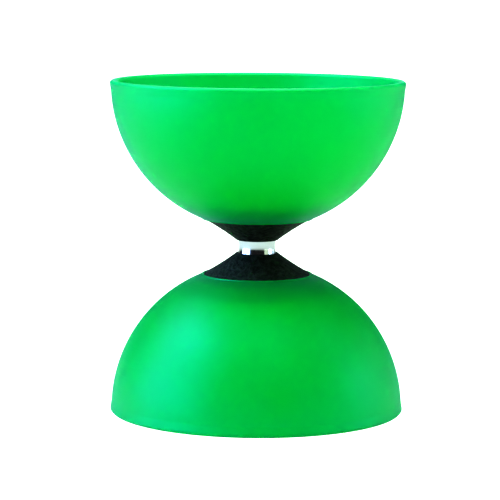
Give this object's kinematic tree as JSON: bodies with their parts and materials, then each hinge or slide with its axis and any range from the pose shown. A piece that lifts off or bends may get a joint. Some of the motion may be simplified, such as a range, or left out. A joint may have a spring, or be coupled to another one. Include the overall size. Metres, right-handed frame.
{
  "type": "diabolo",
  "caption": "Spinning juggling top: open bowl-shaped cups joined back to back by narrow hubs on a free-turning polished sleeve that runs on a string.",
  "frame": {"origin": "middle of the axle, halfway between the rims", "axes": "+Z along the spin axis, X and Y alike; it stands on the lower cup's rim, which faces -Z"},
  "size_m": [0.125, 0.125, 0.141],
  "materials": {
    "cup_plastic": "satin translucent green, slightly flexible",
    "hub_plastic": "black with a fine rough grain",
    "plate_plastic": "black satin moulding",
    "sleeve_steel": "polished bright",
    "shaft_steel": "turned and threaded",
    "washer_steel": "zinc plated",
    "nut_steel": "zinc plated",
    "insert_nylon": "blue nylon",
    "shim_steel": "plain",
    "ring_steel": "ground bearing steel",
    "ball_steel": "mirror polished",
    "ball_cage_brass": "plain",
    "shield_steel": "pressed sheet",
    "clutch_cage_plastic": "natural nylon",
    "spring_steel": "blued strip"
  },
  "bodies": {
    "cups": {"upper_cup": "cup_plastic", "lower_cup": "cup_plastic", "upper_hub": "hub_plastic", "lower_hub": "hub_plastic", "upper_inner_plate": "plate_plastic", "lower_inner_plate": "plate_plastic", "upper_clamp_washer": "washer_steel", "lower_clamp_washer": "washer_steel", "upper_lock_nut": "nut_steel", "lower_lock_nut": "nut_steel", "upper_nut_insert": "insert_nylon", "lower_nut_insert": "insert_nylon", "upper_bearing_shim": "shim_steel", "lower_bearing_shim": "shim_steel", "upper_bearing_inner_ring": "ring_steel", "lower_bearing_inner_ring": "ring_steel", "axle_shaft": "shaft_steel"},
    "sleeve": {"string_sleeve": "sleeve_steel", "upper_bearing_outer_ring": "ring_steel", "lower_bearing_outer_ring": "ring_steel", "upper_bearing_shields": "shield_steel", "lower_bearing_shields": "shield_steel", "clutch_shell": "ring_steel", "clutch_rollers": "ball_steel", "clutch_cage": "clutch_cage_plastic", "clutch_springs": "spring_steel"},
    "upper_ball_set": {"upper_bearing_balls": "ball_steel", "upper_bearing_cage": "ball_cage_brass"},
    "lower_ball_set": {"lower_bearing_balls": "ball_steel", "lower_bearing_cage": "ball_cage_brass"}
  },
  "joints": [
    {"name": "sleeve_spin", "type": "hinge", "parent": "cups", "child": "sleeve", "pos_m": [0, 0, 0], "axis": [0, 0, 1], "continuous": true},
    {"name": "upper_ball_orbit", "type": "hinge", "parent": "cups", "child": "upper_ball_set", "pos_m": [0, 0, 0.0061], "axis": [0, 0, 1], "continuous": true},
    {"name": "lower_ball_orbit", "type": "hinge", "parent": "cups", "child": "lower_ball_set", "pos_m": [0, 0, -0.0061], "axis": [0, 0, 1], "continuous": true}
  ],
  "couplings": [
    {"joint": "upper_ball_orbit", "follows": "sleeve_spin", "ratio": 0.6059},
    {"joint": "lower_ball_orbit", "follows": "sleeve_spin", "ratio": 0.6059}
  ]
}
